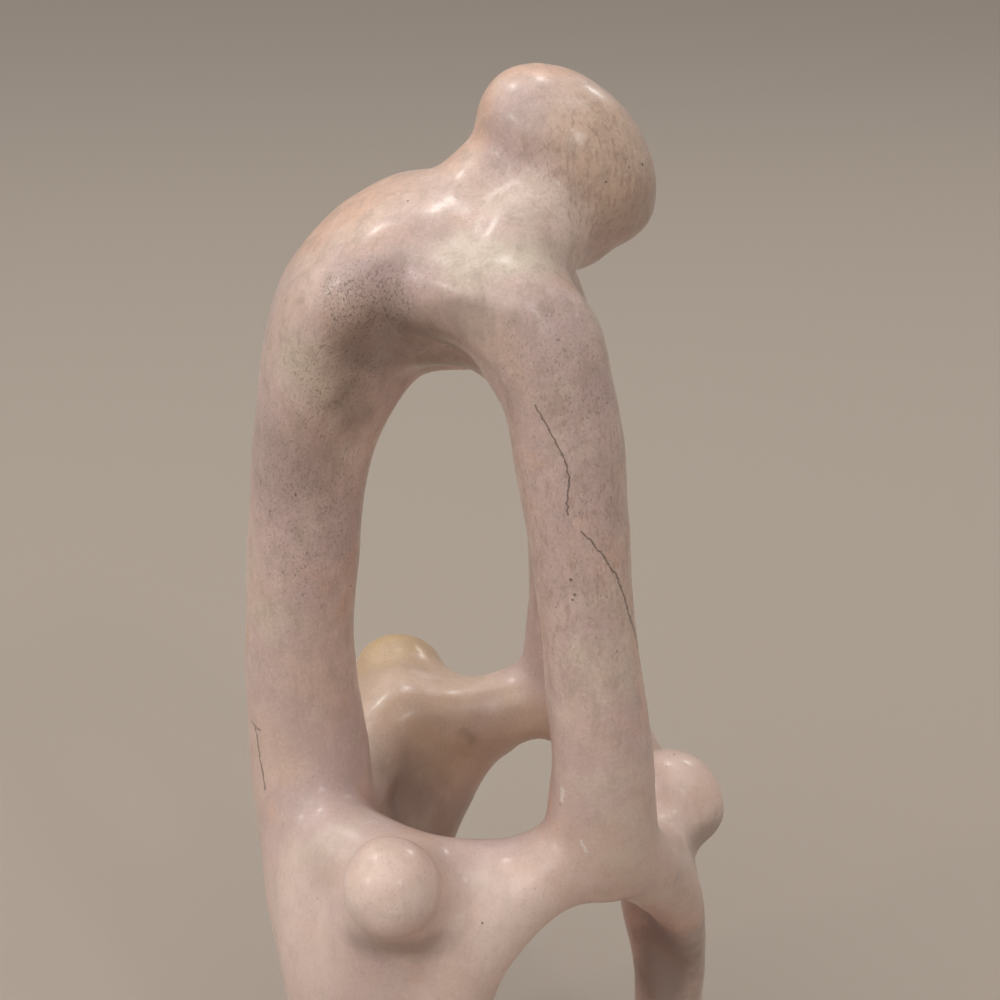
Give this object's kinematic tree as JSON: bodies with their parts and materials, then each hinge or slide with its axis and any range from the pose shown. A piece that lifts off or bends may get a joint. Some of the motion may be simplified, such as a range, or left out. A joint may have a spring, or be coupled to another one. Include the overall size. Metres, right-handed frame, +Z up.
{
  "type": "family group sculpture",
  "caption": "Polished soapstone carving in one piece: a tall bowed adult whose long arms come down on a ring of children, on a low oval foot.",
  "frame": {"origin": "middle of the foot's flat underside", "axes": "+Z up, the adult's head bows towards +X, the two arms are to -Y and +Y of the middle plane"},
  "size_m": [0.1305, 0.1471, 0.3041],
  "materials": {
    "soapstone": "hand rubbed and waxed, pink to cream with brown mottling"
  },
  "bodies": {
    "root": {"family_carving": "soapstone"}
  },
  "joints": []
}
